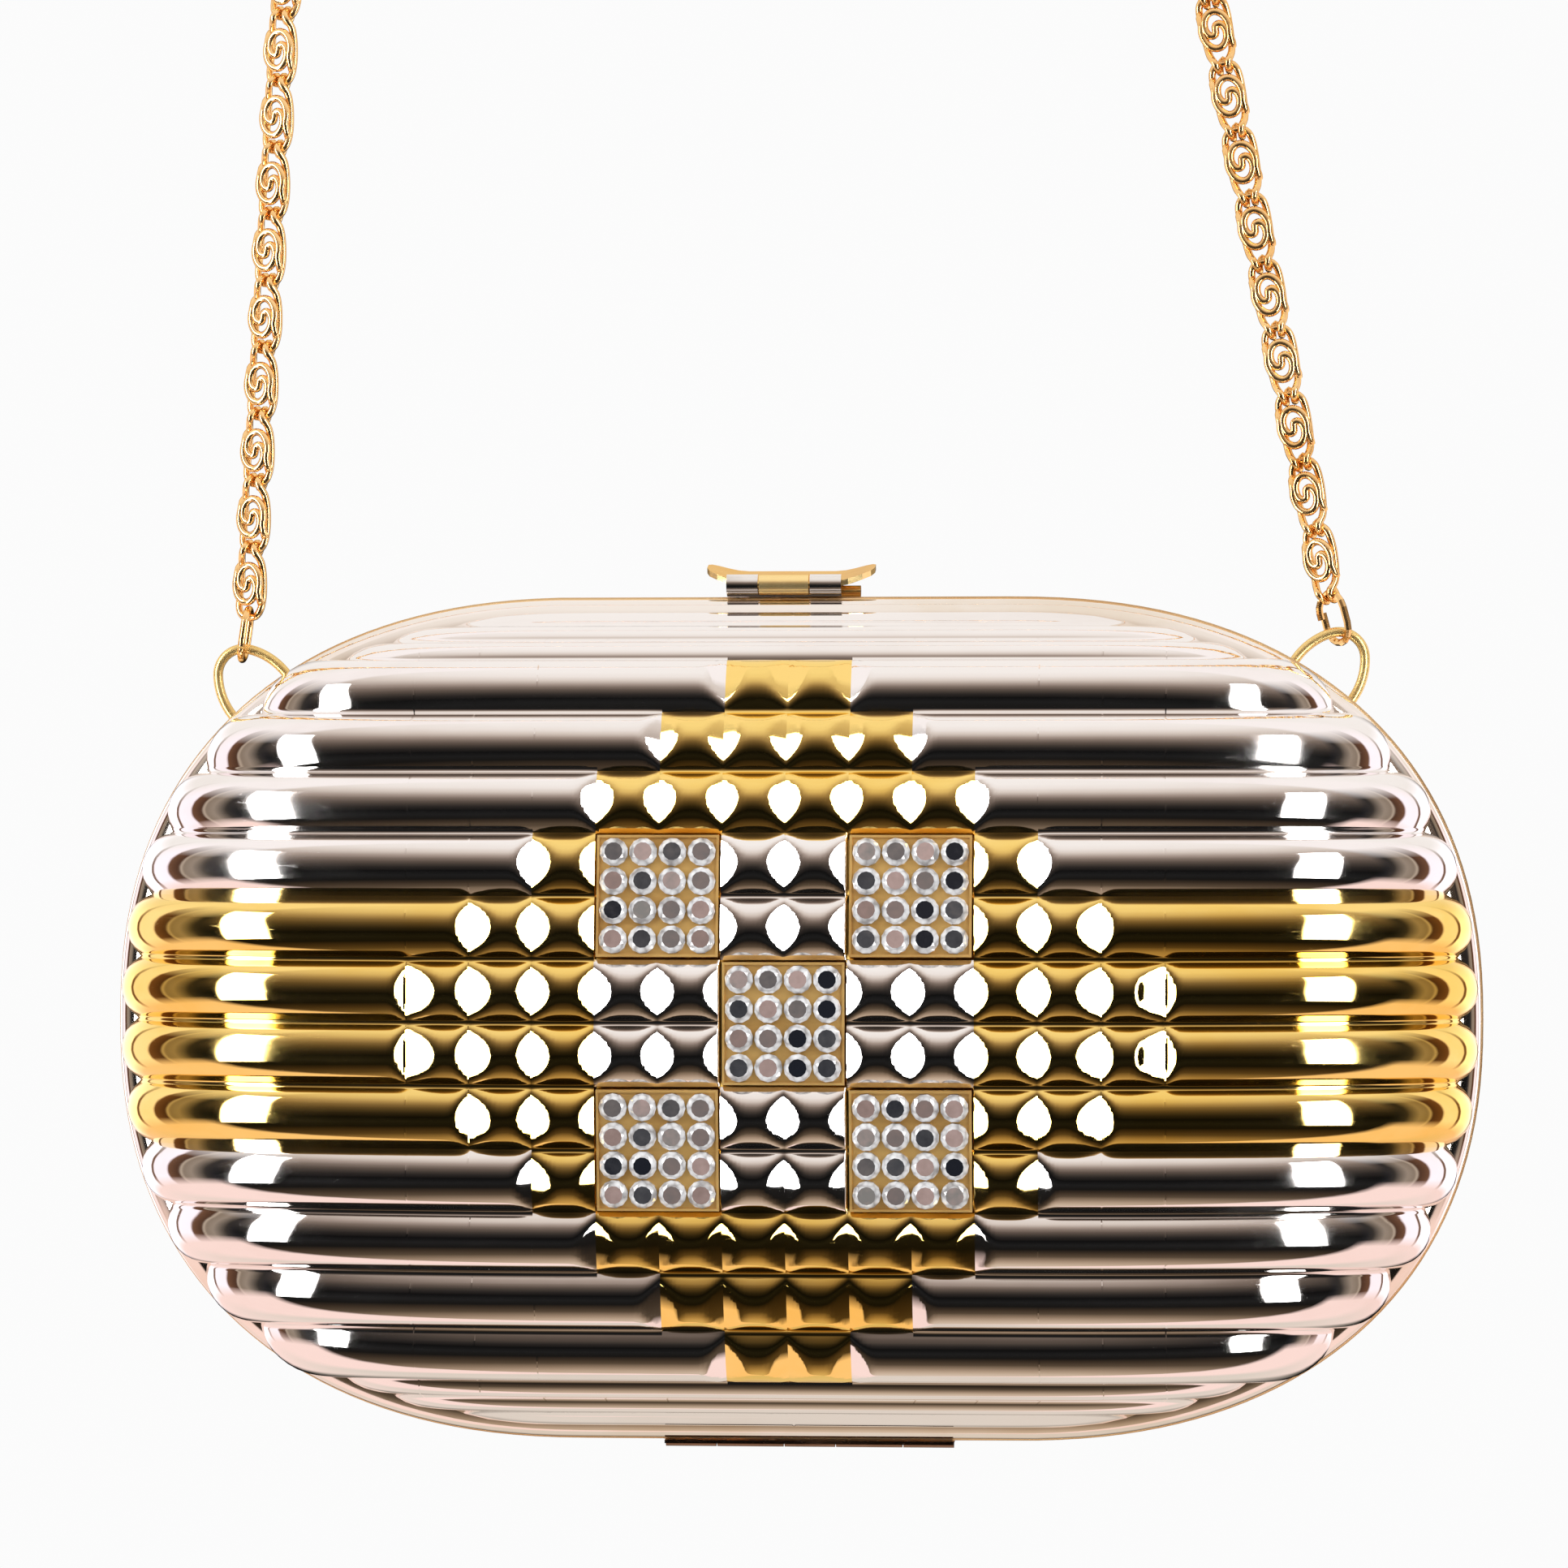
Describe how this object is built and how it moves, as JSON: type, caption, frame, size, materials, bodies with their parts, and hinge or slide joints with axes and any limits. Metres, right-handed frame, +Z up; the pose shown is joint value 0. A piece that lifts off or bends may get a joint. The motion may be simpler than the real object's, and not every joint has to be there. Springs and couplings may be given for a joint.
{
  "type": "minaudiere",
  "caption": "Hard oval evening bag with fluted metal shells, a stepped field of pillow studs with crystal squares, a lift clasp, bottom hinge and scroll chain.",
  "frame": {"origin": "hold point under the top of the chain, in the plane of the chain", "axes": "+X to the bag's right seen from the front, +Y to the back, +Z up along the hanging chain"},
  "size_m": [0.1682, 0.0495, 0.225],
  "materials": {
    "silver_shell": "polished",
    "gold_rim": "polished",
    "lining": "matte",
    "gold_tray": "satin",
    "crystal": "polished",
    "hinge_bronze": "satin",
    "clasp_silver": "polished",
    "clasp_gold": "polished",
    "ring_wire": "satin",
    "chain_gold": "polished"
  },
  "bodies": {
    "chain": {"chain_left": "chain_gold", "chain_crown": "chain_gold", "chain_right": "chain_gold", "jump_ring_left": "chain_gold", "jump_ring_right": "chain_gold"},
    "case": {"back_shell": "silver_shell", "back_frame": "gold_rim", "back_lining": "lining", "hinge_leaf_back": "hinge_bronze", "hinge_pin": "hinge_bronze", "clasp_catch": "clasp_gold", "ring_lug_left": "ring_wire", "ring_lug_right": "ring_wire", "d_ring_left": "ring_wire", "d_ring_right": "ring_wire"},
    "lid": {"front_shell": "silver_shell", "front_frame": "gold_rim", "front_lining": "lining", "tray_centre": "gold_tray", "tray_upper_left": "gold_tray", "tray_upper_right": "gold_tray", "tray_lower_left": "gold_tray", "tray_lower_right": "gold_tray", "stones_centre": "crystal", "stones_upper_left": "crystal", "stones_upper_right": "crystal", "stones_lower_left": "crystal", "stones_lower_right": "crystal", "hinge_leaf_front": "hinge_bronze", "clasp_leaf": "clasp_silver", "clasp_pin": "clasp_gold"},
    "lever": {"clasp_lever": "clasp_gold"}
  },
  "joints": [
    {"name": "bag_swing", "type": "hinge", "parent": "chain", "child": "case", "pos_m": [-0.00121, 0, -0.12137], "axis": [0.9999, 0, 0.0134], "range_deg": [-90, 90]},
    {"name": "lid_open", "type": "hinge", "parent": "case", "child": "lid", "pos_m": [0.0016, -0.00125, -0.2198], "axis": [1, 0, 0], "range_deg": [0, 100]},
    {"name": "lever_lift", "type": "hinge", "parent": "lid", "child": "lever", "pos_m": [-0.0014, -0.00365, -0.1146], "axis": [1, 0, 0], "range_deg": [0, 100]}
  ]
}
